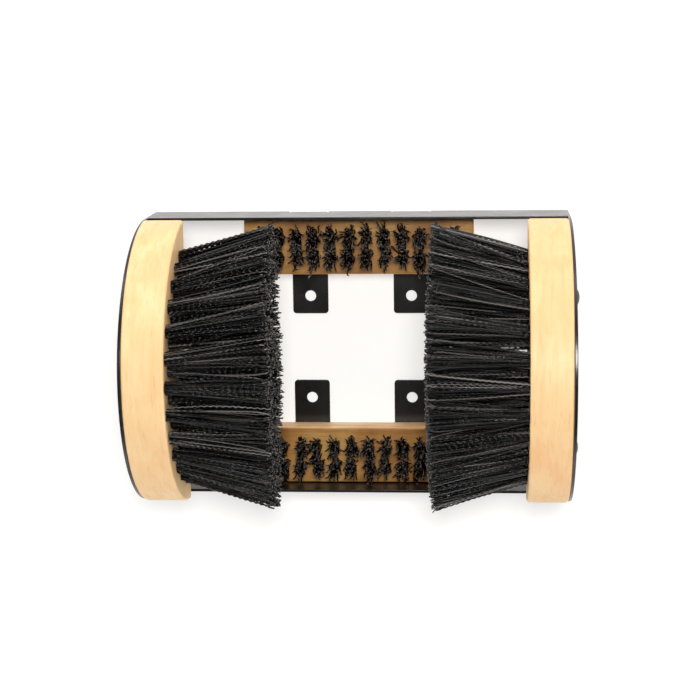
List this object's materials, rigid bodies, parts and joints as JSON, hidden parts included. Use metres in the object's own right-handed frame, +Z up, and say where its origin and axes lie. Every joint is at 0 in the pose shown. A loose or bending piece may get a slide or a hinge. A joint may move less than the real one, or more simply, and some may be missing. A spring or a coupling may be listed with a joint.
{
  "type": "boot scraper",
  "caption": "Black sheet-steel boot scraper with half-round side brushes facing each other over two floor brushes, and drilled tabs to screw it down.",
  "frame": {"origin": "on the ground under the middle of the frame, where the centre of its outer box projects", "axes": "+X from the left side plate to the right one, +Y from the front long wall to the back one, +Z up, out of the open top"},
  "size_m": [0.3072, 0.2133, 0.16],
  "materials": {
    "black_paint": "black gloss powder paint on folded sheet steel",
    "pale_wood": "sanded pale softwood, unvarnished",
    "golden_wood": "sanded golden wood, lightly oiled",
    "black_bristle": "black crimped synthetic filament",
    "black_screw": "black finished steel screws"
  },
  "bodies": {
    "root": {"steel_frame": "black_paint", "left_side_board": "pale_wood", "left_side_bristles": "black_bristle", "right_side_board": "pale_wood", "right_side_bristles": "black_bristle", "front_floor_block": "golden_wood", "front_floor_bristles": "black_bristle", "back_floor_block": "golden_wood", "back_floor_bristles": "black_bristle", "front_left_side_screw": "black_screw", "front_left_floor_screw": "black_screw", "front_right_side_screw": "black_screw", "front_right_floor_screw": "black_screw", "back_left_side_screw": "black_screw", "back_left_floor_screw": "black_screw", "back_right_side_screw": "black_screw", "back_right_floor_screw": "black_screw"}
  },
  "joints": []
}
